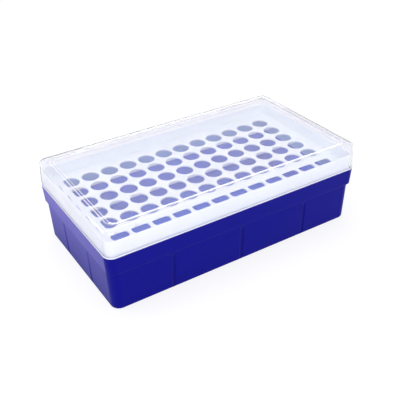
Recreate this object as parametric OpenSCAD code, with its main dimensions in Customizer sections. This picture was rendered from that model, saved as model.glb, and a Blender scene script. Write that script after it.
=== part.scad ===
// Microcentrifuge tube box: a drafted tub, a perforated tube tray that stands in it, and a lift-off lid.
// Z is up, the length runs along X, and the origin is the centre of the underside.

/* [Tube places] */
// Tube places along the length
columns = 12; // [3:1:16]
// Tube places across the width
rows = 6; // [2:1:9]
// Distance between the centres of neighbouring holes
pitch = 14.5; // [13.5:0.5:20]
// Diameter of a tube hole
hole_d = 12; // [10:0.1:12.8]
// Centre of the last hole to the end of the box, at the rim
end_margin = 16.5; // [13:0.5:30]
// Centre of the last hole to the side of the box, at the rim
side_margin = 17; // [13:0.5:30]

/* [Tub] */
// Height of the tub from the table to its rim
base_h = 41; // [34:0.5:55]
// Wall thickness of the tub
base_wall = 1.6; // [1.4:0.1:2.4]
// Thickness of the floor
floor_t = 1.8; // [1.2:0.1:3]
// Height of the collar, where the wall steps outwards
collar_h = 12; // [9:0.5:15]
// How far the collar stands proud of the wall below it
collar_step = 0.8; // [0.6:0.1:1.4]
// How far the collar leans in from the rim to its lower edge
collar_draft = 0.8; // [0:0.1:1.4]
// How far the wall below the collar leans in down to the table
flank_draft = 1; // [0.1:0.1:2]
// Corner radius of the collar and the lid, at the rim
corner_r = 6; // [5:0.5:12]
// Corner radius of the wall below the collar, at its upper end
flank_r = 7; // [6:0.5:12]
// Radius of the edge between wall and underside
heel_r = 1.6; // [0.4:0.2:2.2]
// Height of the inner ledge above the lower edge of the collar
ledge_rise = 1; // [0.5:0.1:3]
// Width of the ring that the tub stands on
foot_w = 6; // [4:0.5:10]
// Depth of the recess inside that ring
foot_recess = 0.8; // [0.4:0.1:2]

/* [Wall grooves] */
// Grooves in each long side
grooves_long = 3; // [0:1:5]
// Distance between the grooves in a long side
groove_pitch_long = 52; // [20:1:60]
// Grooves in each end
grooves_short = 2; // [0:1:4]
// Distance between the grooves in an end
groove_pitch_short = 37; // [15:1:45]
// Radius of the round cutter that leaves a groove
groove_r = 3; // [1.5:0.1:4]
// Depth of a groove
groove_depth = 0.5; // [0.2:0.1:0.8]

/* [Tray] */
// Height of the plate's upper face above the rim of the tub
plate_rise = 2.5; // [2:0.5:6]
// Thickness of the perforated plate
plate_t = 1; // [0.8:0.1:2]
// Thickness of the tray's wall
tray_wall = 1; // [0.8:0.1:1.6]
// Height of the tray's rim above the plate
tray_rim_h = 8.3; // [4:0.1:10]
// Depth of the stiffening ribs, from the plate's upper face
rib_depth = 2.8; // [1.5:0.1:4]
// Thickness of a rib
rib_t = 1; // [0.6:0.1:1.2]
// Radius of the round-over on the rim's outer edge
tray_edge_r = 0.4; // [0.1:0.05:0.5]

/* [Lid] */
// Height of the lid's border above the rim of the tub
lid_h = 18.8; // [15:0.1:28]
// Wall thickness of the lid
lid_wall = 1.1; // [0.8:0.1:1.6]
// How far the lid's wall leans in over the height of the lid
lid_draft = 1; // [0:0.1:1.6]
// Radius of the upper edge
lid_edge_r = 3; // [1.6:0.1:4]
// Depth of the sunken panel below the lid's border
panel_sink = 1.3; // [0.4:0.1:2]
// Outline of the rim to the border's inner edge
panel_inset = 6.4; // [5:0.1:12]
// Width of the slope down to the sunken panel
panel_slope = 1.7; // [0.5:0.1:3]
// Corner radius of the border's inner edge
panel_r = 6; // [4:0.5:9]

/* [Fits] */
// Side clearance of the tray in the tub and of the lid round the tray
fit_gap = 0.3; // [0.1:0.05:0.6]

/* [Hidden] */

over = 1;                    // how far a cutter runs past the face that it opens
arc_steps = 4;               // steps round a rounded edge
foot_r = 3;                  // corner radius of the recess under the floor

length = (columns - 1) * pitch + 2 * end_margin;
width = (rows - 1) * pitch + 2 * side_margin;

// Heights
collar_z = base_h - collar_h;
ledge_z = collar_z + ledge_rise;
floor_z = foot_recess + floor_t;
plate_z = base_h + plate_rise;
tray_top_z = plate_z + tray_rim_h;
lid_top_z = base_h + lid_h;
lid_ceiling_z = lid_top_z - lid_wall;
lid_inner_r = lid_edge_r - lid_wall;

// Insets, measured inwards from the outline of the rim
flank_top_inset = collar_draft + collar_step;
flank_foot_inset = flank_top_inset + flank_draft;
flank_angle = atan(flank_draft / collar_z);
rim_inset = max(base_wall, lid_inset(tray_top_z) + lid_wall) + fit_gap;
skirt_inset = collar_inset(ledge_z) + base_wall + fit_gap;
panel_shift = lid_wall * tan(atan2(panel_sink, panel_slope) / 2);
foot_inset = flank_foot_inset + foot_w;

// Insets of the corner centres: the radius of a corner is this less the inset of its face
flank_centre = flank_top_inset + flank_r;
foot_centre = foot_inset + foot_r;
panel_centre = panel_inset + panel_r;

// Outer face of the collar at a height from its lower edge up
function collar_inset(z) = collar_draft * (base_h - z) / collar_h;
// Outer face of the lid's wall at a height above the rim
function lid_inset(z) = lid_draft * (z - base_h) / lid_h;
// Levels [height, inset] round an edge of radius r, from the side to the end face that lies at height z.
// up is 1 where the end face is above and -1 where it is below.
function round_edge(z, inset, r, up) = [
    for (k = [0 : arc_steps])
        let (a = 90 * k / arc_steps)
        [z - up * r * (1 - sin(a)), inset + r * (1 - cos(a))]
];
// The same levels in the opposite order
function reversed(levels) = [for (k = [len(levels) - 1 : -1 : 0]) levels[k]];
// The same levels to the thousandth of a millimetre, so that walls and corners meet without a sliver
function snapped(levels) = [
    for (level = levels)
        [round(level[0] * 1000) / 1000, round(level[1] * 1000) / 1000]
];

// Section through levels [height, inset] whose sides lie `reach` from the middle, less the inset
module section(reach, levels) {
    polygon(concat(
        [for (k = [0 : len(levels) - 1]) [reach - levels[k][1], levels[k][0]]],
        [for (k = [len(levels) - 1 : -1 : 0]) [levels[k][1] - reach, levels[k][0]]]
    ));
}

// Box with round corners through levels [height, inset], listed from the lowest up.
// `centre` is the inset of the four corner centres.
module box(centre, levels) {
    x = length / 2 - centre;
    y = width / 2 - centre;
    profile = snapped(levels);
    rotate([90, 0, 0])
        linear_extrude(2 * y, center = true)
            section(length / 2, profile);
    rotate([90, 0, 90])
        linear_extrude(2 * x, center = true)
            section(width / 2, profile);
    for (corner = [[x, y, 0], [-x, y, 90], [-x, -y, 180], [x, -y, 270]])
        translate([corner[0], corner[1], 0])
            rotate(corner[2])
                rotate_extrude(angle = 90, $fn = 64)
                    intersection() {
                        section(centre, profile);
                        translate([0, profile[0][0]])
                            square([centre, profile[len(profile) - 1][0] - profile[0][0]]);
                    }
}

// Upright groove with a round upper end, cut into a wall that faces +Y and meets the table at `reach`
module groove(reach) {
    top = collar_z - collar_step - groove_r;
    translate([0, reach, 0])
        rotate([-flank_angle, 0, 0])
            translate([0, groove_r - groove_depth, 0]) {
                translate([0, 0, -over])
                    cylinder(h = top + over, r = groove_r, $fn = 32);
                translate([0, 0, top])
                    sphere(r = groove_r, $fn = 32);
            }
}

// Row of grooves, evenly spaced about the middle, in both walls that face along Y
module groove_row(count, spacing, reach) {
    for (side = [0, 180])
        rotate(side)
            for (k = [0 : 1 : count - 1])
                translate([(k - (count - 1) / 2) * spacing, 0, 0])
                    groove(reach);
}

// Everything at the places of the tubes
module at_tubes() {
    for (i = [0 : columns - 1], j = [0 : rows - 1])
        translate([(i - (columns - 1) / 2) * pitch, (j - (rows - 1) / 2) * pitch, 0])
            children();
}

// Tub with a stepped-out collar, an inner ledge for the tray and a ring to stand on
module base_box() {
    color([0.13, 0.11, 0.56])
        difference() {
            union() {
                box(flank_centre, concat(
                    reversed(round_edge(0, flank_foot_inset, heel_r, -1)),
                    [[collar_z, flank_top_inset]]
                ));
                box(corner_r, [
                    [collar_z - collar_step, flank_top_inset],
                    [collar_z, collar_draft],
                    [base_h, 0]
                ]);
            }
            box(flank_centre, concat(
                reversed(round_edge(floor_z, flank_foot_inset + base_wall, heel_r, -1)),
                [[ledge_z + over, flank_top_inset + base_wall]]
            ));
            box(corner_r, [
                [ledge_z, collar_inset(ledge_z) + base_wall],
                [base_h, base_wall],
                [base_h + over, base_wall]
            ]);
            box(foot_centre, [[-over, foot_inset], [foot_recess, foot_inset]]);
            groove_row(grooves_long, groove_pitch_long, width / 2 - flank_foot_inset);
            rotate(90)
                groove_row(grooves_short, groove_pitch_short, length / 2 - flank_foot_inset);
        }
}

// Tray: a perforated plate held up by a wall that stands on the tub's ledge and rises round it as a rim
module tube_tray() {
    color([0.93, 0.95, 0.98])
        difference() {
            union() {
                difference() {
                    box(corner_r, concat(
                        [[ledge_z, skirt_inset], [base_h, rim_inset]],
                        round_edge(tray_top_z, rim_inset, tray_edge_r, 1)
                    ));
                    box(corner_r, [
                        [ledge_z - over, skirt_inset + tray_wall],
                        [ledge_z, skirt_inset + tray_wall],
                        [base_h, rim_inset + tray_wall],
                        [tray_top_z + over, rim_inset + tray_wall]
                    ]);
                }
                box(corner_r, [
                    [plate_z - plate_t, rim_inset + tray_wall / 2],
                    [plate_z, rim_inset + tray_wall / 2]
                ]);
                for (k = [1 : 2 : rows - 1])
                    translate([
                        -length / 2 + rim_inset + tray_wall / 2,
                        (k - rows / 2) * pitch - rib_t / 2,
                        plate_z - rib_depth
                    ])
                        cube([length - 2 * rim_inset - tray_wall, rib_t, rib_depth - plate_t / 2]);
            }
            at_tubes()
                translate([0, 0, plate_z - plate_t - over])
                    cylinder(h = plate_t + 2 * over, d = hole_d, $fn = 48);
        }
}

// Lid: a leaning wall that stands on the tub's rim, a rounded upper edge and a border round a sunken panel
module lid() {
    color([0.9, 0.93, 0.97], 0.45)
        difference() {
            box(corner_r, concat(
                [[base_h, 0]],
                round_edge(lid_top_z, lid_inset(lid_top_z - lid_edge_r), lid_edge_r, 1)
            ));
            difference() {
                box(corner_r, concat(
                    [[base_h - over, lid_wall], [base_h, lid_wall]],
                    round_edge(
                        lid_ceiling_z, lid_inset(lid_ceiling_z - lid_inner_r) + lid_wall, lid_inner_r, 1
                    )
                ));
                box(panel_centre, [
                    [lid_ceiling_z - panel_sink, panel_inset + panel_slope - panel_shift],
                    [lid_ceiling_z, panel_inset - panel_shift],
                    [lid_top_z, panel_inset - panel_shift]
                ]);
            }
            box(panel_centre, [
                [lid_top_z - panel_sink, panel_inset + panel_slope],
                [lid_top_z, panel_inset],
                [lid_top_z + over, panel_inset]
            ]);
        }
}

base_box();
tube_tray();
lid();
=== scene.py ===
"""Microcentrifuge tube box for rendering: a dark blue tub, a white tray and a milky clear lid."""

import math

import bmesh
import bpy
from bpy.props import FloatProperty, FloatVectorProperty, IntProperty, PointerProperty
from mathutils import Matrix, Quaternion, Vector


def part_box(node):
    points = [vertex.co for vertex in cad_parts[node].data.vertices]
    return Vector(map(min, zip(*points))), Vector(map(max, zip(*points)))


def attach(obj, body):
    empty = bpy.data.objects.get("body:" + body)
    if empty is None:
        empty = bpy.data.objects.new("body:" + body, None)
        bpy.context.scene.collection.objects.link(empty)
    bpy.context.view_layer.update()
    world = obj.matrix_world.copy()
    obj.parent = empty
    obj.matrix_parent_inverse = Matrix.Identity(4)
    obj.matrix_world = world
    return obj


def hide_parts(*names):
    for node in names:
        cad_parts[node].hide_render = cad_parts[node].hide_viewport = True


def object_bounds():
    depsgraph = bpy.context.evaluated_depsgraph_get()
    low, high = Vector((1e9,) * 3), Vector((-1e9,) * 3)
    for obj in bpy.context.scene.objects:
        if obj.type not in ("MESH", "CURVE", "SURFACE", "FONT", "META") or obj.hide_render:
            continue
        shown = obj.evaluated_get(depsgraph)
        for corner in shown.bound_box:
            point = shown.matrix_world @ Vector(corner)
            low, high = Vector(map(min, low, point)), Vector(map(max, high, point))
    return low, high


bl_info = {
    "name": "Tube Box",
    "version": (1, 0, 0),
    "blender": (4, 5, 0),
    "location": "View3D > Sidebar > Tube Box",
    "description": "Builds a lidded box for microcentrifuge tubes and its studio",
    "category": "Add Mesh",
}

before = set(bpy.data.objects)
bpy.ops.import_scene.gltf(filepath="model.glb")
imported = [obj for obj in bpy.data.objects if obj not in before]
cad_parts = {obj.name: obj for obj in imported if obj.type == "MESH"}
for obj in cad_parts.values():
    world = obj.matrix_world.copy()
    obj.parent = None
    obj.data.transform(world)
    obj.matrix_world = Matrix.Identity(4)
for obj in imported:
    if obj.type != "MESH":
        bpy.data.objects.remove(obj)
CAD_LOW, CAD_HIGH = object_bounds()
HALF_LENGTH, HALF_WIDTH, LID_TOP_Z = CAD_HIGH
RIM_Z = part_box("base_box")[1][2]
LEDGE_Z, TRAY_TOP_Z = (corner[2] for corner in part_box("tube_tray"))
MM = 0.001


# ---------------------------------------------------------------- materials

PLASTIC_IOR = 1.49
NOISE_MEAN = 0.5
GRAIN_HEIGHT = 0.35  # height of the fine grain beside the mottle's
HIGHLIGHT_FROST_CLEARNESS = 0.12  # share of light that the frosted parts which paint highlights let through unscattered
LID_FILTER = (0.8, 0.82, 0.86, 1.0)  # colour of the light that the lid lets through to the rest

# The painted sheen's start and full strength, by how slanted a face looks and by X.
PAINTED_SHEEN_SLANT = (0.68, 0.80)
PAINTED_SHEEN_X = (HALF_LENGTH - 7.0 * MM, HALF_LENGTH - 3.0 * MM)
PAINTED_SHEEN_FOOT = 0.02  # share of the painted sheen that is left at the tub's foot
PAINTED_SHEEN_MOST = 0.46
PAINTED_SHEEN_GROOVE = 0.40  # least painted sheen in a groove, whose flanks face other ways than the wall

# Heights between which one colour turns into the other: the painted shade on the tub's floor into
# the lining's painted light, and the skirt's painted blue light into the tray's white.
SHADE_TO_LIGHT_HEIGHTS = (2.0 * MM, 5.0 * MM)
SKIRT_LIGHT_HEIGHTS = (RIM_Z - 3.0 * MM, RIM_Z - 0.5 * MM)

WHITE = (1.0, 1.0, 1.0, 1.0)
SKY = (0.96, 0.97, 1.0, 1.0)
FLOOR_MATT = (0.80, 0.80, 0.81, 1.0)  # the floor as the lamps find it
FLOOR_SHADED = (0.26, 0.26, 0.27, 1.0)  # the part of the seen floor that a shadow can darken
FLOOR_GLOW = 0.79  # the part of the seen floor that it can't
FLOOR_FADE = (0.35, 1.0)  # how far out the shadow starts to fade, and where it is gone


def new_material(name):
    """An empty node material with its output node."""
    mat = bpy.data.materials.new(name)
    mat.use_nodes = True
    mat.node_tree.nodes.clear()
    return mat, mat.node_tree, add(mat.node_tree, "ShaderNodeOutputMaterial", 900, 0)


def add(tree, kind, x, y, **values):
    """A node at a place in the tree, with its plain properties set."""
    node = tree.nodes.new(kind)
    node.location = (x, y)
    for key, value in values.items():
        setattr(node, key, value)
    return node


def math_node(tree, operation, first, second, x, y):
    """A Math node that works on two outputs."""
    node = add(tree, "ShaderNodeMath", x, y, operation=operation)
    tree.links.new(first, node.inputs[0])
    tree.links.new(second, node.inputs[1])
    return node.outputs[0]


def remap(tree, value, source, x, y, target=(0.0, 1.0), kind="SMOOTHSTEP"):
    """A Map Range node from one span of values to another."""
    node = add(tree, "ShaderNodeMapRange", x, y, interpolation_type=kind)
    node.inputs["From Min"].default_value, node.inputs["From Max"].default_value = source
    node.inputs["To Min"].default_value, node.inputs["To Max"].default_value = target
    tree.links.new(value, node.inputs["Value"])
    return node.outputs["Result"]


def mix_shaders(tree, share, first, second, x, y):
    """A Mix Shader node that goes from the first shader to the second as the share rises."""
    node = add(tree, "ShaderNodeMixShader", x, y)
    tree.links.new(share, node.inputs["Fac"])
    tree.links.new(first, node.inputs[1])
    tree.links.new(second, node.inputs[2])
    return node.outputs["Shader"]


def object_parts(tree, x, y):
    """The place on the object as separate X, Y and Z."""
    place = add(tree, "ShaderNodeTexCoord", x, y)
    parts = add(tree, "ShaderNodeSeparateXYZ", x + 200, y)
    tree.links.new(place.outputs["Object"], parts.inputs["Vector"])
    return parts


def moulded_skin_group():
    """Shared surface of moulded plastic: a soft mottle, fine grain and a height for Bump."""
    if "Moulded Skin" in bpy.data.node_groups:
        return bpy.data.node_groups["Moulded Skin"]
    tree = bpy.data.node_groups.new("Moulded Skin", "ShaderNodeTree")
    face = tree.interface
    for name, default in (
        ("Mottle Scale", 30.0),
        ("Grain Scale", 900.0),
        ("Roughness", 0.4),
        ("Roughness Spread", 0.08),
    ):
        socket = face.new_socket(name, in_out="INPUT", socket_type="NodeSocketFloat")
        socket.default_value = default
    for name in ("Light Tone", "Dark Tone"):
        face.new_socket(name, in_out="INPUT", socket_type="NodeSocketColor")
    face.new_socket("Color", in_out="OUTPUT", socket_type="NodeSocketColor")
    face.new_socket("Roughness", in_out="OUTPUT", socket_type="NodeSocketFloat")
    face.new_socket("Height", in_out="OUTPUT", socket_type="NodeSocketFloat")

    inputs = add(tree, "NodeGroupInput", -900, 0)
    outputs = add(tree, "NodeGroupOutput", 600, 0)
    place = add(tree, "ShaderNodeTexCoord", -900, 300)
    mottle = add(tree, "ShaderNodeTexNoise", -600, 250)
    mottle.inputs["Detail"].default_value = 4.0
    mottle.inputs["Roughness"].default_value = 0.55
    grain = add(tree, "ShaderNodeTexNoise", -600, -50)
    grain.inputs["Detail"].default_value = 2.0
    link = tree.links.new
    link(place.outputs["Object"], mottle.inputs["Vector"])
    link(place.outputs["Object"], grain.inputs["Vector"])
    link(inputs.outputs["Mottle Scale"], mottle.inputs["Scale"])
    link(inputs.outputs["Grain Scale"], grain.inputs["Scale"])

    tones = add(tree, "ShaderNodeMix", -200, 300, data_type="RGBA")
    link(mottle.outputs["Fac"], tones.inputs["Factor"])
    link(inputs.outputs["Dark Tone"], tones.inputs["A"])
    link(inputs.outputs["Light Tone"], tones.inputs["B"])
    link(tones.outputs["Result"], outputs.inputs["Color"])

    centred = add(tree, "ShaderNodeMath", -350, 50, operation="SUBTRACT")
    link(mottle.outputs["Fac"], centred.inputs[0])
    centred.inputs[1].default_value = NOISE_MEAN
    spread = add(tree, "ShaderNodeMath", -150, 50, operation="MULTIPLY_ADD")
    link(centred.outputs[0], spread.inputs[0])
    link(inputs.outputs["Roughness Spread"], spread.inputs[1])
    link(inputs.outputs["Roughness"], spread.inputs[2])
    link(spread.outputs[0], outputs.inputs["Roughness"])

    height = add(tree, "ShaderNodeMath", -150, -150, operation="MULTIPLY_ADD")
    link(grain.outputs["Fac"], height.inputs[0])
    height.inputs[1].default_value = GRAIN_HEIGHT
    link(mottle.outputs["Fac"], height.inputs[2])
    link(height.outputs[0], outputs.inputs["Height"])
    return tree


def skin_node(tree, tone, shade, roughness, spread, mottle, grain):
    """The shared skin placed in a material with that material's own values.

    `shade` is the dark tone's share of the light one, and `mottle` and `grain` are scales.
    """
    node = add(tree, "ShaderNodeGroup", -500, 0)
    node.node_tree = moulded_skin_group()
    node.inputs["Light Tone"].default_value = (*tone, 1.0)
    node.inputs["Dark Tone"].default_value = (*(c * shade for c in tone), 1.0)
    node.inputs["Roughness"].default_value = roughness
    node.inputs["Roughness Spread"].default_value = spread
    node.inputs["Mottle Scale"].default_value = mottle
    node.inputs["Grain Scale"].default_value = grain
    return node


def plastic_shader(tree, skin, colour, strength, distance, specular=0.5):
    """Principled shader of a moulded plastic: a colour, with the skin's roughness and bump.

    `strength` and `distance` are the Bump node's.
    """
    bump = add(tree, "ShaderNodeBump", -200, -300)
    bump.inputs["Strength"].default_value = strength
    bump.inputs["Distance"].default_value = distance
    shader = add(tree, "ShaderNodeBsdfPrincipled", 200, 0)
    shader.inputs["Specular IOR Level"].default_value = specular
    shader.inputs["IOR"].default_value = PLASTIC_IOR
    link = tree.links.new
    link(colour, shader.inputs["Base Color"])
    link(skin.outputs["Roughness"], shader.inputs["Roughness"])
    link(skin.outputs["Height"], bump.inputs["Height"])
    link(bump.outputs["Normal"], shader.inputs["Normal"])
    return shader


def colour_by_height(tree, low_tone, high_colour, heights):
    """Goes from a plain tone at the first height to another colour at the second."""
    parts = object_parts(tree, -900, 350)
    blend = add(tree, "ShaderNodeMix", -50, 250, data_type="RGBA")
    blend.inputs["A"].default_value = (*low_tone, 1.0)
    tree.links.new(remap(tree, parts.outputs["Z"], heights, -500, 350), blend.inputs["Factor"])
    tree.links.new(high_colour, blend.inputs["B"])
    return blend.outputs["Result"]


def blue_plastic(finish, name="Blue plastic", depth=1.0, least=0.0):
    """Dark blue polypropylene, satin, with a painted sheen: pale on the ends where they are seen at
    a low angle.

    `depth` scales the colour's brightness, which paints the shade in the grooves, and `least` is
    the least painted sheen.
    """
    mat, tree, out = new_material(name)
    tone = tuple(c * depth for c in finish.blue)
    skin = skin_node(tree, tone, shade=0.9, roughness=0.42, spread=0.12, mottle=38.0, grain=1500.0)
    slant = add(tree, "ShaderNodeLayerWeight", -700, 500)
    slant.inputs["Blend"].default_value = 0.5
    parts = object_parts(tree, -1100, 300)
    apart = add(tree, "ShaderNodeMath", -700, 300, operation="ABSOLUTE")
    tree.links.new(parts.outputs["X"], apart.inputs[0])
    seen = remap(tree, slant.outputs["Facing"], PAINTED_SHEEN_SLANT, -500, 500, (least, PAINTED_SHEEN_MOST))
    outer = remap(tree, apart.outputs[0], PAINTED_SHEEN_X, -500, 300)
    upper = remap(tree, parts.outputs["Z"], (0.0, RIM_Z), -500, 100, (PAINTED_SHEEN_FOOT, 1.0), "LINEAR")
    zone = math_node(tree, "MULTIPLY", outer, upper, -300, 300)
    # Painted sheen: a pale colour mixed in on the ends at a low angle, fading towards the foot.
    painted_sheen = add(tree, "ShaderNodeMix", -50, 250, data_type="RGBA")
    painted_sheen.inputs["B"].default_value = (*finish.painted_sheen, 1.0)
    tree.links.new(math_node(tree, "MULTIPLY", seen, zone, -200, 450), painted_sheen.inputs["Factor"])
    tree.links.new(skin.outputs["Color"], painted_sheen.inputs["A"])
    shader = plastic_shader(
        tree, skin, painted_sheen.outputs["Result"], strength=0.12, distance=0.3 * MM, specular=0.08)
    tree.links.new(shader.outputs["BSDF"], out.inputs["Surface"])
    return mat


def blue_lining(finish):
    """The tub's inside: painted light, brighter than the outside where light soaks through its thin
    walls, and painted shade on the floor.
    """
    mat, tree, out = new_material("Blue lining")
    skin = skin_node(
        tree, finish.lining_painted_light, shade=0.92, roughness=0.5, spread=0.08, mottle=38.0, grain=1500.0)
    # Painted shade on the floor, turning into the painted light of the walls above it.
    colour = colour_by_height(tree, finish.floor_painted_shade, skin.outputs["Color"], SHADE_TO_LIGHT_HEIGHTS)
    shader = plastic_shader(
        tree, skin, colour, strength=0.08, distance=0.3 * MM, specular=0.2)
    tree.links.new(shader.outputs["BSDF"], out.inputs["Surface"])
    return mat


def white_plastic(finish):
    """White polypropylene of the tray, satin. Its thin skirt is painted with the tub's blue light.
    """
    mat, tree, out = new_material("White plastic")
    skin = skin_node(
        tree, finish.white, shade=0.96, roughness=0.45, spread=0.08, mottle=30.0, grain=1300.0)
    # Painted light: the skirt below the rim is tinted with the blue light from the tub.
    colour = colour_by_height(tree, finish.skirt, skin.outputs["Color"], SKIRT_LIGHT_HEIGHTS)
    shader = plastic_shader(
        tree, skin, colour, strength=0.08, distance=0.3 * MM, specular=0.4)
    tree.links.new(shader.outputs["BSDF"], out.inputs["Surface"])
    return mat


def clear_plastic(finish):
    """Milky clear polypropylene: a hazy white body that light passes through."""
    mat, tree, out = new_material("Clear plastic")
    skin = skin_node(
        tree, finish.haze, shade=0.94, roughness=0.02, spread=0.02, mottle=22.0, grain=700.0)
    shader = plastic_shader(
        tree, skin, skin.outputs["Color"], strength=0.02, distance=0.2 * MM)
    shader.inputs["Transmission Weight"].default_value = finish.clearness
    passing = add(tree, "ShaderNodeBsdfTransparent", 200, -400)
    passing.inputs["Color"].default_value = LID_FILTER
    path = add(tree, "ShaderNodeLightPath", 200, 400)
    body = mix_shaders(
        tree, path.outputs["Is Shadow Ray"], shader.outputs["BSDF"], passing.outputs["BSDF"],
        600, 0)
    tree.links.new(body, out.inputs["Surface"])
    return mat


def frosted_highlight_plastic(finish):
    """The lid's creases and lower lip, frosted white so that they scatter light and show as painted
    highlights.
    """
    mat, tree, out = new_material("Frosted plastic")
    skin = skin_node(
        tree, finish.frost_highlight, shade=0.97, roughness=0.3, spread=0.06, mottle=22.0, grain=1200.0)
    shader = plastic_shader(
        tree, skin, skin.outputs["Color"], strength=0.05, distance=0.2 * MM)
    shader.inputs["Transmission Weight"].default_value = HIGHLIGHT_FROST_CLEARNESS
    tree.links.new(shader.outputs["BSDF"], out.inputs["Surface"])
    return mat


def seen_ray(tree):
    """1 on rays that show a surface to the eye: straight, through the lid or in a reflection."""
    path = add(tree, "ShaderNodeLightPath", -400, 300)
    either = math_node(
        tree, "MAXIMUM", path.outputs["Is Camera Ray"], path.outputs["Is Transmission Ray"],
        -200, 300)
    return math_node(tree, "MAXIMUM", either, path.outputs["Is Glossy Ray"], 0, 300)


def floor_material():
    """Pale floor: white to the eye apart from the object's faint shadow, which fades out."""
    mat, tree, out = new_material("Pale floor")
    matt = add(tree, "ShaderNodeBsdfDiffuse", -400, 0)
    matt.inputs["Color"].default_value = FLOOR_MATT
    shaded = add(tree, "ShaderNodeBsdfDiffuse", -400, -150)
    shaded.inputs["Color"].default_value = FLOOR_SHADED
    glow = add(tree, "ShaderNodeEmission", -400, -300)
    glow.inputs["Color"].default_value = WHITE
    glow.inputs["Strength"].default_value = FLOOR_GLOW
    lifted = add(tree, "ShaderNodeAddShader", -150, -200)
    tree.links.new(shaded.outputs["BSDF"], lifted.inputs[0])
    tree.links.new(glow.outputs["Emission"], lifted.inputs[1])
    plain = add(tree, "ShaderNodeEmission", -150, -450)
    plain.inputs["Color"].default_value = WHITE
    plain.inputs["Strength"].default_value = 1.0
    place = add(tree, "ShaderNodeTexCoord", -900, -500)
    span = add(tree, "ShaderNodeVectorMath", -700, -500, operation="LENGTH")
    tree.links.new(place.outputs["Object"], span.inputs[0])
    away = remap(tree, span.outputs["Value"], FLOOR_FADE, -500, -500)
    seen = mix_shaders(tree, away, lifted.outputs["Shader"], plain.outputs["Emission"], 50, -300)
    surface = mix_shaders(tree, seen_ray(tree), matt.outputs["BSDF"], seen, 300, 0)
    tree.links.new(surface, out.inputs["Surface"])
    return mat


def white_world(strength):
    """Even soft light from all round, and plain white where it is seen."""
    world = bpy.data.worlds.new("Studio")
    bpy.context.scene.world = world
    world.use_nodes = True
    tree = world.node_tree
    tree.nodes.clear()
    out = add(tree, "ShaderNodeOutputWorld", 600, 0)
    soft = add(tree, "ShaderNodeBackground", 0, 0)
    soft.inputs["Color"].default_value = SKY
    soft.inputs["Strength"].default_value = strength
    plain = add(tree, "ShaderNodeBackground", 0, -200)
    plain.inputs["Color"].default_value = WHITE
    plain.inputs["Strength"].default_value = 1.0
    surface = mix_shaders(
        tree, seen_ray(tree), soft.outputs["Background"], plain.outputs["Background"], 300, 0)
    tree.links.new(surface, out.inputs["Surface"])


# ---------------------------------------------------------------- mouldings

LINING = 1  # material slot of the tub's inside, with painted light and shade
GROOVE_SHADE = 2  # material slot of the tub's grooves, with painted shade
FROSTED_HIGHLIGHT = 1  # material slot of the lid's frosted parts, which paint highlights

SMALL_EDGE = 0.3 * MM  # radii of the edges that the settings don't give
COLLAR_EDGE = 0.2 * MM
TUB_RIM_EDGE = 0.35 * MM
TRAY_RIM_EDGE = 0.4 * MM
LID_RIM_EDGE = 0.25 * MM
RECESS_CORNER = 3.0 * MM

FLAT = 0.0001 * MM  # distance within which a vertex lies in a plane
MERGED = 0.001 * MM  # distance within which two vertices are one
GROOVE_STEPS = 8  # strips across a groove
GROOVE_END_STEPS = 4  # strips up its rounded end
WALL_FACING = 0.97  # least cosine between a wall's face and straight outwards
SHARP_ANGLE = 1.0  # in radians, well above the angles between faces of a rounded edge
PLATE_MARGIN = 8.0 * MM  # the holes lie further in than this, and the plate's own edge doesn't
NORMAL_WEIGHT = 80  # how far large faces outweigh small ones in the shading


class Level:
    """One corner of a moulding's section, run round the box.

    `inset` is its distance in from the box's sides and `centre` that of the centres of its round
    corners. `soften` is the radius of the edge there, made in `segments` steps. `wall_slot` is the
    material of the wall that leads to it, and `edge_slot` the rounded edge's own, if it has one.
    """

    def __init__(self, z, inset, centre, soften=0.0, segments=3, wall_slot=0, edge_slot=None):
        self.z = z
        self.inset = inset
        self.centre = centre
        self.soften = soften
        self.segments = segments
        self.wall_slot = wall_slot
        self.edge_slot = edge_slot


def made_of(kind, geom):
    """The items of one kind in what an operator gives back."""
    return [item for item in geom if isinstance(item, kind)]


def soften_edges(bm, edges, radius, segments):
    """Rounds edges and gives back the new faces."""
    return bmesh.ops.bevel(
        bm, geom=edges, offset=radius, offset_type="OFFSET", segments=segments, profile=0.5,
        affect="EDGES", material=-1)["faces"]


def round_rectangle(bm, z, inset, centre, arc):
    """A flat face as large as the box less an inset, with round corners."""
    verts = bmesh.ops.create_grid(bm, x_segments=1, y_segments=1, size=1.0)["verts"]
    bmesh.ops.scale(bm, vec=(HALF_LENGTH - inset, HALF_WIDTH - inset, 1.0), verts=verts)
    bmesh.ops.translate(bm, vec=(0.0, 0.0, z), verts=verts)
    bmesh.ops.bevel(
        bm, geom=verts, offset=centre - inset, offset_type="OFFSET", segments=arc, profile=0.5,
        affect="VERTICES", material=-1)


def quadrant(vert):
    """Signs of the corner of the box that a vertex belongs to."""
    return (1.0 if vert.co.x > 0.0 else -1.0, 1.0 if vert.co.y > 0.0 else -1.0)


def move_ring(bm, verts, old, new):
    """Takes a ring of vertices from one level to the next, each corner about its own centre."""
    ratio = (new.centre - new.inset) / (old.centre - old.inset)
    for sx in (1.0, -1.0):
        for sy in (1.0, -1.0):
            part = [v for v in verts if quadrant(v) == (sx, sy)]
            was = Vector((sx * (HALF_LENGTH - old.centre), sy * (HALF_WIDTH - old.centre), old.z))
            now = Vector((sx * (HALF_LENGTH - new.centre), sy * (HALF_WIDTH - new.centre), new.z))
            bmesh.ops.scale(
                bm, vec=(ratio, ratio, 1.0), space=Matrix.Translation(-was), verts=part)
            bmesh.ops.translate(bm, vec=now - was, verts=part)


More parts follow.
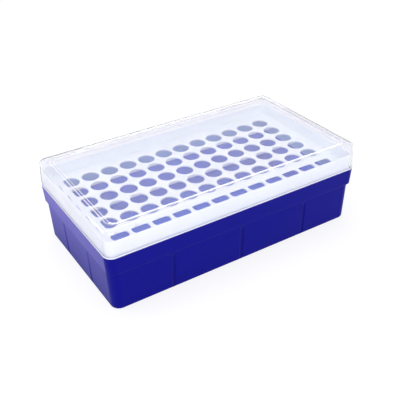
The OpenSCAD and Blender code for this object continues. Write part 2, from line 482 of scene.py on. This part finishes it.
def mould(bm, levels, arc, closed=True):
    """A moulding through levels: a face with round corners, pulled from each level to the next.

    A closed moulding keeps its first and last face as caps, an open one is bridged into a hoop.
    """
    first = levels[0]
    round_rectangle(bm, first.z, first.inset, first.centre, arc)
    first_cap = cap = next(
        f for f in bm.faces
        if len(f.verts) > 4 and all(abs(v.co.z - first.z) < FLAT for v in f.verts))
    rings = [list(cap.edges)]
    for old, new in zip(levels, levels[1:]):
        grown = bmesh.ops.extrude_face_region(bm, geom=[cap])["geom"]
        move_ring(bm, made_of(bmesh.types.BMVert, grown), old, new)
        if cap.is_valid and cap is not first_cap:
            bmesh.ops.delete(bm, geom=[cap], context="FACES_ONLY")
        cap = made_of(bmesh.types.BMFace, grown)[0]
        for edge in cap.edges:
            for side in edge.link_faces:
                if side is not cap:
                    side.material_index = new.wall_slot
        rings.append(list(cap.edges))
    cap.material_index = levels[-1].wall_slot
    if not closed:
        bmesh.ops.delete(bm, geom=[first_cap, cap], context="FACES_ONLY")
        bmesh.ops.bridge_loops(bm, edges=rings[0] + rings[-1])
    for level, ring in zip(levels, rings):
        if level.soften > 0.0:
            edges = [e for e in ring if e.is_valid]
            rounded = soften_edges(bm, edges, level.soften, level.segments)
            if level.edge_slot is not None:
                for face in rounded:
                    face.material_index = level.edge_slot


def finish_mesh(bm, name, node, materials, sharp=35.0):
    """Turns a bmesh into a piece that stands for a CAD node, sharp above `sharp` degrees."""
    bmesh.ops.remove_doubles(bm, verts=bm.verts, dist=MERGED)
    bmesh.ops.recalc_face_normals(bm, faces=bm.faces)
    limit = math.radians(sharp)
    for face in bm.faces:
        face.smooth = True
    for edge in bm.edges:
        edge.smooth = len(edge.link_faces) == 2 and edge.calc_face_angle(0.0) < limit
    mesh = bpy.data.meshes.new(name)
    bm.to_mesh(mesh)
    bm.free()
    piece = bpy.data.objects.new(name, mesh)
    bpy.context.scene.collection.objects.link(piece)
    for mat in materials:
        mesh.materials.append(mat)
    even = piece.modifiers.new("Even shading", "WEIGHTED_NORMAL")
    even.keep_sharp = True
    even.weight = NORMAL_WEIGHT
    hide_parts(node)
    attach(piece, "root")


def collar_inset(sizes, z):
    """Outer face of the tub's collar at a height."""
    return sizes.collar_draft * (RIM_Z - z) / sizes.collar_height


def lid_inset(sizes, z):
    """Outer face of the lid's wall at a height."""
    return sizes.lid_draft * (z - RIM_Z) / (LID_TOP_Z - RIM_Z)


def tub_levels(sizes):
    """Section of the tub: from under the floor up the outside, over the rim and down inside."""
    collar_z = RIM_Z - sizes.collar_height
    top = sizes.collar_draft + sizes.collar_step
    foot = top + sizes.flank_draft
    outer = top + sizes.flank_radius
    wall = sizes.tub_wall
    ledge = top + wall + sizes.flank_draft * (collar_z - LEDGE_Z) / collar_z
    ring = foot + sizes.foot_width
    round_in = ring + RECESS_CORNER
    collar_r = sizes.corner_radius
    return [
        Level(sizes.foot_recess, ring, round_in),
        Level(0.0, ring, round_in, SMALL_EDGE, 2),
        Level(0.0, foot, outer, sizes.heel, 6),
        Level(collar_z - sizes.collar_step, top, outer, SMALL_EDGE, 2),
        Level(collar_z, sizes.collar_draft, collar_r, COLLAR_EDGE, 2),
        Level(RIM_Z, 0.0, collar_r, TUB_RIM_EDGE, 3),
        Level(RIM_Z, wall, collar_r, TUB_RIM_EDGE, 3, LINING),
        Level(LEDGE_Z, collar_inset(sizes, LEDGE_Z) + wall, collar_r, wall_slot=LINING),
        Level(LEDGE_Z, ledge, outer, SMALL_EDGE, 2, LINING),
        Level(sizes.foot_recess + sizes.floor, foot + wall, outer, sizes.heel, 4, LINING),
    ]


def cut_faces(bm, faces, point, plane):
    """Cuts faces along a plane and gives back the pieces."""
    geom = list({g for f in faces for g in (f, *f.edges, *f.verts)})
    cut = bmesh.ops.bisect_plane(bm, geom=geom, dist=FLAT, plane_co=point, plane_no=plane)
    return made_of(bmesh.types.BMFace, cut["geom"])


def press_groove(bm, sizes, along, place, side):
    """Presses one upright groove with a rounded end into a wall of the tub below the collar.

    `along` is the axis that the wall runs along, 0 or 1, and `side` is the sign of its place.
    """
    across = 1 - along
    collar_z = RIM_Z - sizes.collar_height - sizes.collar_step
    top = collar_z - sizes.groove_radius
    hollow = sizes.groove_radius - sizes.groove_depth
    half = math.sqrt(sizes.groove_radius ** 2 - hollow ** 2)
    outward = Vector((0.0, 0.0, 0.0))
    outward[across] = side
    sideways = Vector((0.0, 0.0, 0.0))
    sideways[along] = 1.0
    upward = Vector((0.0, 0.0, 1.0))

    def is_wall(face):
        middle = face.calc_center_median()
        return (
            face.normal.dot(outward) > WALL_FACING and middle[across] * side > 0.0
            and middle.z < collar_z
            and min(v.co[along] for v in face.verts) < place < max(v.co[along] for v in face.verts))

    region = [f for f in bm.faces if is_wall(f)]
    for k in range(GROOVE_STEPS + 1):
        cut = sideways * (place - half + 2.0 * half * k / GROOVE_STEPS)
        region = cut_faces(bm, region, cut, sideways)
    for k in range(GROOVE_END_STEPS + 1):
        rise = half * math.sin(math.pi / 2.0 * k / GROOVE_END_STEPS)
        near = [f for f in region if abs(f.calc_center_median()[along] - place) < half]
        far = [f for f in region if f not in near]
        region = cut_faces(bm, near, upward * (top + rise), upward) + far
    for vert in {v for f in region for v in f.verts}:
        off = vert.co[along] - place
        rise = max(vert.co.z - top, 0.0)
        room = sizes.groove_radius ** 2 - off ** 2 - rise ** 2
        if room > hollow ** 2:
            bmesh.ops.translate(bm, vec=-outward * (math.sqrt(room) - hollow), verts=[vert])
    # Faces inside the groove take the slot of its painted shade.
    for face in region:
        middle = face.calc_center_median()
        if (middle[along] - place) ** 2 + max(middle.z - top, 0.0) ** 2 < half ** 2:
            face.material_index = GROOVE_SHADE


def build_tub(sizes, finish):
    """Tub with softened edges and the grooves pressed into its walls."""
    bm = bmesh.new()
    mould(bm, tub_levels(sizes), sizes.corner_steps)
    bmesh.ops.recalc_face_normals(bm, faces=bm.faces)
    for count, spacing, along in (
        (sizes.grooves_long, sizes.groove_pitch_long, 0),
        (sizes.grooves_short, sizes.groove_pitch_short, 1),
    ):
        for k in range(count):
            for side in (1.0, -1.0):
                press_groove(bm, sizes, along, (k - (count - 1) / 2.0) * spacing, side)
    # The grooves get the tub's colour darkened: painted shade.
    groove_shade_plastic = blue_plastic(finish, "Blue plastic, grooves", finish.groove, PAINTED_SHEEN_GROOVE)
    materials = [blue_plastic(finish), blue_lining(finish), groove_shade_plastic]
    finish_mesh(bm, "tub", "base_box", materials, sharp=25.0)


def tray_levels(sizes):
    """Section of the tray's wall: up the outside, over the rim and down the inside."""
    rim = lid_inset(sizes, TRAY_TOP_Z) + sizes.lid_wall + sizes.fit_gap
    skirt = collar_inset(sizes, LEDGE_Z) + sizes.tub_wall + sizes.fit_gap
    wall = sizes.tray_wall
    round_r = sizes.corner_radius
    return [
        Level(LEDGE_Z, skirt, round_r),
        Level(RIM_Z, rim, round_r),
        Level(TRAY_TOP_Z, rim, round_r, TRAY_RIM_EDGE, 4),
        Level(TRAY_TOP_Z, rim + wall, round_r, TRAY_RIM_EDGE, 4),
        Level(RIM_Z, rim + wall, round_r),
        Level(LEDGE_Z, skirt + wall, round_r),
    ]


def build_plate(plate, sizes, plate_z, seat):
    """Plate with a grid of holes whose upper edges are softened."""
    round_rectangle(plate, 0.0, seat, sizes.corner_radius, sizes.corner_steps)
    bmesh.ops.delete(plate, geom=list(plate.faces), context="FACES_ONLY")
    for i in range(sizes.columns):
        for j in range(sizes.rows):
            place = Matrix.Translation((
                (i - (sizes.columns - 1) / 2.0) * sizes.pitch,
                (j - (sizes.rows - 1) / 2.0) * sizes.pitch,
                0.0,
            ))
            bmesh.ops.create_circle(
                plate, cap_ends=False, radius=sizes.hole / 2.0, segments=sizes.hole_steps,
                matrix=place)
    bmesh.ops.triangle_fill(
        plate, use_beauty=True, use_dissolve=False, edges=list(plate.edges), normal=(0, 0, 1))
    bmesh.ops.translate(plate, vec=(0.0, 0.0, plate_z), verts=plate.verts)
    grown = bmesh.ops.extrude_face_region(
        plate, geom=list(plate.faces), use_keep_orig=True)["geom"]
    bmesh.ops.translate(
        plate, vec=(0.0, 0.0, -sizes.plate), verts=made_of(bmesh.types.BMVert, grown))
    bmesh.ops.recalc_face_normals(plate, faces=plate.faces)
    lips = [
        e for e in plate.edges
        if len(e.link_faces) == 2 and e.calc_face_angle(0.0) > SHARP_ANGLE
        and abs(e.verts[0].co.x) < HALF_LENGTH - PLATE_MARGIN
        and abs(e.verts[0].co.y) < HALF_WIDTH - PLATE_MARGIN
        and e.verts[0].co.z > plate_z - sizes.plate / 2.0
    ]
    soften_edges(plate, lips, SMALL_EDGE, 3)


def build_ribs(plate, sizes, plate_z, seat):
    """Ribs under the plate between every second pair of rows, sunk in by half its thickness."""
    depth = sizes.rib_depth - sizes.plate / 2.0
    for k in range(1, sizes.rows, 2):
        rib = bmesh.ops.create_cube(plate, size=1.0)["verts"]
        middle_z = plate_z - sizes.rib_depth + depth / 2.0
        place = (0.0, (k - sizes.rows / 2.0) * sizes.pitch, middle_z)
        bmesh.ops.scale(plate, vec=(2.0 * (HALF_LENGTH - seat), sizes.rib, depth), verts=rib)
        bmesh.ops.translate(plate, vec=place, verts=rib)


def build_tray(sizes, finish):
    """Tray: a hoop-shaped wall, a perforated plate and the ribs under it."""
    bm = bmesh.new()
    levels = tray_levels(sizes)
    mould(bm, levels, sizes.corner_steps, closed=False)
    plate = bmesh.new()
    plate_z = RIM_Z + sizes.plate_rise
    seat = levels[1].inset + sizes.tray_wall / 2.0
    build_plate(plate, sizes, plate_z, seat)
    build_ribs(plate, sizes, plate_z, seat)
    mesh = bpy.data.meshes.new("tray plate")
    plate.to_mesh(mesh)
    plate.free()
    bm.from_mesh(mesh)
    bpy.data.meshes.remove(mesh)
    finish_mesh(bm, "tray", "tube_tray", [white_plastic(finish)])


def lid_levels(sizes):
    """Section of the lid: from the sunken panel over the border, down the wall and back inside."""
    wall = sizes.lid_wall
    ceiling = LID_TOP_Z - wall
    round_r = sizes.corner_radius
    inside = round_r + sizes.inner_corner
    border = sizes.border
    step = border + sizes.panel_slope
    middle = border + sizes.panel_radius
    shift = wall * math.tan(math.atan2(sizes.panel_sink, sizes.panel_slope) / 2.0)
    soft = sizes.crease
    lip_z = RIM_Z + sizes.lip
    return [
        # The creases at the slope and the lip at the rim are frosted as painted highlights.
        Level(LID_TOP_Z - sizes.panel_sink, step, middle, soft, 4, edge_slot=FROSTED_HIGHLIGHT),
        Level(LID_TOP_Z, border, middle, soft, 4, edge_slot=FROSTED_HIGHLIGHT),
        Level(LID_TOP_Z, lid_inset(sizes, LID_TOP_Z), round_r, sizes.lid_edge, 10),
        Level(lip_z, lid_inset(sizes, lip_z), round_r),
        Level(RIM_Z, 0.0, round_r, LID_RIM_EDGE, 3, FROSTED_HIGHLIGHT),
        Level(RIM_Z, wall, inside, LID_RIM_EDGE, 3, FROSTED_HIGHLIGHT),
        Level(ceiling, lid_inset(sizes, ceiling) + wall, inside, sizes.lid_inner_edge, 10),
        Level(ceiling, border - shift, middle, soft, 4, edge_slot=FROSTED_HIGHLIGHT),
        Level(ceiling - sizes.panel_sink, step - shift, middle, soft, 4, edge_slot=FROSTED_HIGHLIGHT),
    ]


def build_lid(sizes, finish):
    """Lid of even thickness with a rounded upper edge and a border round its sunken panel."""
    bm = bmesh.new()
    mould(bm, lid_levels(sizes), sizes.corner_steps)
    materials = [clear_plastic(finish), frosted_highlight_plastic(finish)]
    finish_mesh(bm, "lid_shell", "lid", materials, sharp=50.0)


# ---------------------------------------------------------------- settings

def length(name, description, value):
    """A length in metres whose default is given in millimetres."""
    return FloatProperty(
        name=name, description=description, unit="LENGTH", min=0.0, default=value * MM)


def number(name, description, value, least):
    """A whole number."""
    return IntProperty(name=name, description=description, min=least, default=value)


def factor(name, description, value):
    """A share from 0 to 1."""
    return FloatProperty(
        name=name, description=description, subtype="FACTOR", min=0.0, max=1.0, default=value)


def rgb(name, description, value):
    """A colour."""
    return FloatVectorProperty(
        name=name, description=description, subtype="COLOR", size=3, min=0.0, max=1.0,
        default=value)


def angle(name, description, value):
    """An angle whose default is given in degrees."""
    return FloatProperty(
        name=name, description=description, subtype="ANGLE", default=math.radians(value))


def watts(name, description, value):
    """A lamp's power in watts."""
    return FloatProperty(name=name, description=description, unit="POWER", default=value)


class TubeBoxSizes(bpy.types.PropertyGroup):
    """Sizes of the three mouldings."""

    corner_steps: number("Corner steps", "Steps round each corner of the box", 14, 4)
    corner_radius: length("Corner radius", "Corner radius of collar and lid at the rim", 6.0)
    flank_radius: length("Flank radius", "Corner radius of the wall below the collar", 7.0)
    heel: length("Heel radius", "Radius of the edge between wall and underside", 1.6)
    tub_wall: length("Tub wall", "Wall thickness of the tub", 1.6)
    floor: length("Floor", "Thickness of the tub's floor", 1.8)
    foot_width: length("Foot width", "Width of the ring that the tub stands on", 6.0)
    foot_recess: length("Foot recess", "Depth of the recess inside that ring", 0.8)
    collar_height: length("Collar height", "Height of the collar", 12.0)
    collar_step: length("Collar step", "How far the collar stands proud of the wall", 0.8)
    collar_draft: length("Collar draft", "How far the collar leans in", 0.8)
    flank_draft: length("Flank draft", "How far the wall below the collar leans in", 1.0)
    groove_radius: length("Groove radius", "Radius of a groove's section", 3.0)
    groove_depth: length("Groove depth", "Depth of a groove", 0.5)
    groove_pitch_long: length("Groove pitch, sides", "Distance between grooves in a side", 52.0)
    groove_pitch_short: length("Groove pitch, ends", "Distance between grooves in an end", 37.0)
    grooves_long: number("Side grooves", "Grooves in each side", 3, 0)
    grooves_short: number("End grooves", "Grooves in each end", 2, 0)
    columns: number("Columns", "Tube places along the length", 12, 1)
    rows: number("Rows", "Tube places across the width", 6, 1)
    pitch: length("Pitch", "Distance between neighbouring holes", 14.5)
    hole: length("Hole", "Diameter of a tube hole", 12.0)
    hole_steps: number("Hole steps", "Steps round a tube hole", 40, 12)
    plate_rise: length("Plate rise", "Height of the plate's upper face above the tub's rim", 2.5)
    plate: length("Plate", "Thickness of the perforated plate", 1.0)
    tray_wall: length("Tray wall", "Thickness of the tray's wall", 1.0)
    rib_depth: length("Rib depth", "Depth of a rib from the plate's upper face", 2.8)
    rib: length("Rib", "Thickness of a rib", 1.0)
    fit_gap: length("Fit gap", "Clearance between tray, tub and lid", 0.3)
    lid_wall: length("Lid wall", "Wall thickness of the lid", 1.1)
    lid_draft: length("Lid draft", "How far the lid's wall leans in", 1.0)
    lid_edge: length("Lid edge", "Radius of the lid's upper edge", 2.5)
    lid_inner_edge: length("Lid inner edge", "Radius inside the lid's upper edge", 2.2)
    border: length("Border", "Width of the border round the sunken panel", 6.2)
    panel_sink: length("Panel sink", "Depth of the panel below the border", 0.5)
    panel_slope: length("Panel slope", "Width of the slope down to the panel", 2.1)
    panel_radius: length("Panel radius", "Corner radius of the border's inner edge", 6.0)
    inner_corner: length("Inner corner", "Extra radius inside the lid's corners", 0.5)
    # The lip is frosted as a painted highlight along the lid's lower edge.
    lip: length("Lip", "Height of the frosted lip along the lid's lower edge", 1.1)
    crease: length("Crease", "Width of the soft creases at the slope", 0.12)


class TubeBoxFinish(bpy.types.PropertyGroup):
    """Colours of the three mouldings."""

    blue: rgb("Tub colour", "Colour of the tub", (0.003, 0.003, 0.25))
    # Painted shade: how much darker the tub's colour is painted in its grooves.
    groove: factor("Groove tone", "Brightness of the tub's colour in its grooves", 0.84)
    # Painted sheen: the pale colour that stands in for the ends' reflection at a low angle.
    painted_sheen: rgb("Bloom colour", "Colour of the bloom at a low angle", (0.35, 0.30, 0.94))
    # Painted light: the tub's blue brightened inside, standing in for light soaking through its
    # walls.
    lining_painted_light: rgb("Lining colour", "Colour of the tub's inside", (0.02, 0.16, 1.0))
    # Painted shade: the tub's floor darker than its lit walls.
    floor_painted_shade: rgb("Floor colour", "Colour of the tub's floor", (0.03, 0.15, 0.88))
    white: rgb("Tray colour", "Colour of the tube tray", (0.85, 0.88, 0.91))
    # Painted light: the blue that the tub's light casts on the tray's skirt.
    skirt: rgb("Skirt colour", "Colour of the tray's skirt inside the tub", (0.44, 0.72, 1.0))
    haze: rgb("Lid haze", "Colour of the haze in the lid", (0.955, 0.95, 0.985))
    # Painted highlight: the white of the frosted creases and lip, standing in for their highlights.
    frost_highlight: rgb("Lid frost", "Colour of the lid's frosted creases and lip", (0.97, 0.96, 1.0))
    clearness: factor(
        "Lid clearness", "Share of light that passes one face of the lid unscattered", 0.93)


class TubeBoxStudio(bpy.types.PropertyGroup):
    """Camera and lights."""

    place: FloatVectorProperty(
        name="Camera place", description="Where the camera stands", subtype="TRANSLATION",
        unit="LENGTH", size=3, default=(-0.2068, -0.3307, 0.2687),
    )
    azimuth: angle("Azimuth", "Direction the camera looks from, 0 looks along +Y", -32.053)
    elevation: angle("Elevation", "Angle of the view below the horizon", 32.470)
    roll: angle("Roll", "Tilt of the camera about its own axis", -1.161)
    lens: FloatProperty(
        name="Focal length", description="Focal length on a 36 mm sensor", min=10.0, default=58.607,
    )
    top_power: watts("Top lamp", "Power of the lamp overhead", 3.5)
    left_power: watts("Left lamp", "Power of the lamp at the left", 1.8)
    front_power: watts("Front lamp", "Power of the lamp in front", 6.0)
    back_power: watts("Back lamp", "Power of the low lamp behind", 1.0)
    fill: FloatProperty(
        name="Fill", description="Strength of the light from all round", min=0.0, default=0.52,
    )


# ---------------------------------------------------------------- stage

SENSOR_MM = 36.0
FLOOR_HALF_SIDE = 3.0
LAMP_AIM = (0.0, 0.0, 0.04)
LAMPS = (  # name, place, width, height and the setting that holds its power
    ("Top lamp", (-0.05, 0.15, 0.95), 0.9, 0.7, "top_power"),
    ("Left lamp", (-0.75, 0.45, 0.25), 0.5, 0.5, "left_power"),
    ("Back lamp", (0.52, 0.86, 0.22), 0.6, 0.16, "back_power"),
    ("Front lamp", (-0.35, -0.98, 0.4), 0.9, 0.6, "front_power"),
)


def build_floor():
    """Wide floor that the object stands on."""
    bm = bmesh.new()
    bmesh.ops.create_grid(bm, x_segments=1, y_segments=1, size=FLOOR_HALF_SIDE)
    mesh = bpy.data.meshes.new("Floor")
    bm.to_mesh(mesh)
    bm.free()
    mesh.materials.append(floor_material())
    floor = bpy.data.objects.new("Floor", mesh)
    bpy.context.scene.collection.objects.link(floor)


def area_lamp(name, place, width, height, energy):
    """A soft lamp that points at the object."""
    data = bpy.data.lights.new(name, "AREA")
    data.shape = "RECTANGLE"
    data.size, data.size_y = width, height
    data.energy = energy
    lamp = bpy.data.objects.new(name, data)
    bpy.context.scene.collection.objects.link(lamp)
    lamp.location = place
    lamp.rotation_mode = "QUATERNION"
    lamp.rotation_quaternion = (Vector(LAMP_AIM) - Vector(place)).to_track_quat("-Z", "Y")


def build_camera(studio):
    """Camera at its place, turned by azimuth, elevation and roll."""
    data = bpy.data.cameras.new("Camera")
    data.lens = studio.lens
    data.sensor_width = SENSOR_MM
    camera = bpy.data.objects.new("Camera", data)
    bpy.context.scene.collection.objects.link(camera)
    camera.location = studio.place
    back = Vector((
        math.sin(studio.azimuth) * math.cos(studio.elevation),
        -math.cos(studio.azimuth) * math.cos(studio.elevation),
        math.sin(studio.elevation),
    ))
    roll = Quaternion((0.0, 0.0, 1.0), studio.roll)
    camera.rotation_mode = "QUATERNION"
    camera.rotation_quaternion = (-back).to_track_quat("-Z", "Y") @ roll
    bpy.context.scene.camera = camera


# ---------------------------------------------------------------- operators

class TUBEBOX_OT_stage(bpy.types.Operator):
    """Set up the floor, the lamps, the surroundings and the camera"""

    bl_idname = "tubebox.stage"
    bl_label = "Stage"

    def execute(self, context):
        studio = context.scene.tube_box_studio
        build_floor()
        for name, place, width, height, setting in LAMPS:
            area_lamp(name, place, width, height, getattr(studio, setting))
        white_world(studio.fill)
        build_camera(studio)
        context.scene.view_settings.view_transform = "Standard"
        return {"FINISHED"}


class TUBEBOX_OT_tub(bpy.types.Operator):
    """Finish the tub in dark blue plastic"""

    bl_idname = "tubebox.tub"
    bl_label = "Tub"

    def execute(self, context):
        build_tub(context.scene.tube_box_sizes, context.scene.tube_box_finish)
        return {"FINISHED"}


class TUBEBOX_OT_tray(bpy.types.Operator):
    """Finish the tube tray in white plastic"""

    bl_idname = "tubebox.tray"
    bl_label = "Tube tray"

    def execute(self, context):
        build_tray(context.scene.tube_box_sizes, context.scene.tube_box_finish)
        return {"FINISHED"}


class TUBEBOX_OT_lid(bpy.types.Operator):
    """Finish the lid in milky clear plastic"""

    bl_idname = "tubebox.lid"
    bl_label = "Lid"

    def execute(self, context):
        build_lid(context.scene.tube_box_sizes, context.scene.tube_box_finish)
        return {"FINISHED"}


class TUBEBOX_PT_panel(bpy.types.Panel):
    """Every size, colour and studio setting, and a button for each step"""

    bl_idname = "TUBEBOX_PT_panel"
    bl_label = "Tube Box"
    bl_space_type = "VIEW_3D"
    bl_region_type = "UI"
    bl_category = "Tube Box"

    def draw(self, context):
        scene = context.scene
        for group in (scene.tube_box_sizes, scene.tube_box_finish, scene.tube_box_studio):
            box = self.layout.box()
            for name in group.__annotations__:
                box.prop(group, name)
        for op in STEPS:
            self.layout.operator(op.bl_idname)


STEPS = (TUBEBOX_OT_stage, TUBEBOX_OT_tub, TUBEBOX_OT_tray, TUBEBOX_OT_lid)
CLASSES = (TubeBoxSizes, TubeBoxFinish, TubeBoxStudio, *STEPS, TUBEBOX_PT_panel)


def register():
    """Makes the classes and the scene's settings known to Blender."""
    for cls in CLASSES:
        bpy.utils.register_class(cls)
    bpy.types.Scene.tube_box_sizes = PointerProperty(type=TubeBoxSizes)
    bpy.types.Scene.tube_box_finish = PointerProperty(type=TubeBoxFinish)
    bpy.types.Scene.tube_box_studio = PointerProperty(type=TubeBoxStudio)


def unregister():
    """Takes back what register() did, in reverse order."""
    del bpy.types.Scene.tube_box_studio
    del bpy.types.Scene.tube_box_finish
    del bpy.types.Scene.tube_box_sizes
    for cls in reversed(CLASSES):
        bpy.utils.unregister_class(cls)


def main():
    """Builds the stage and the three pieces."""
    register()
    bpy.ops.tubebox.stage()
    bpy.ops.tubebox.tub()
    bpy.ops.tubebox.tray()
    bpy.ops.tubebox.lid()


if __name__ == "__main__":
    main()
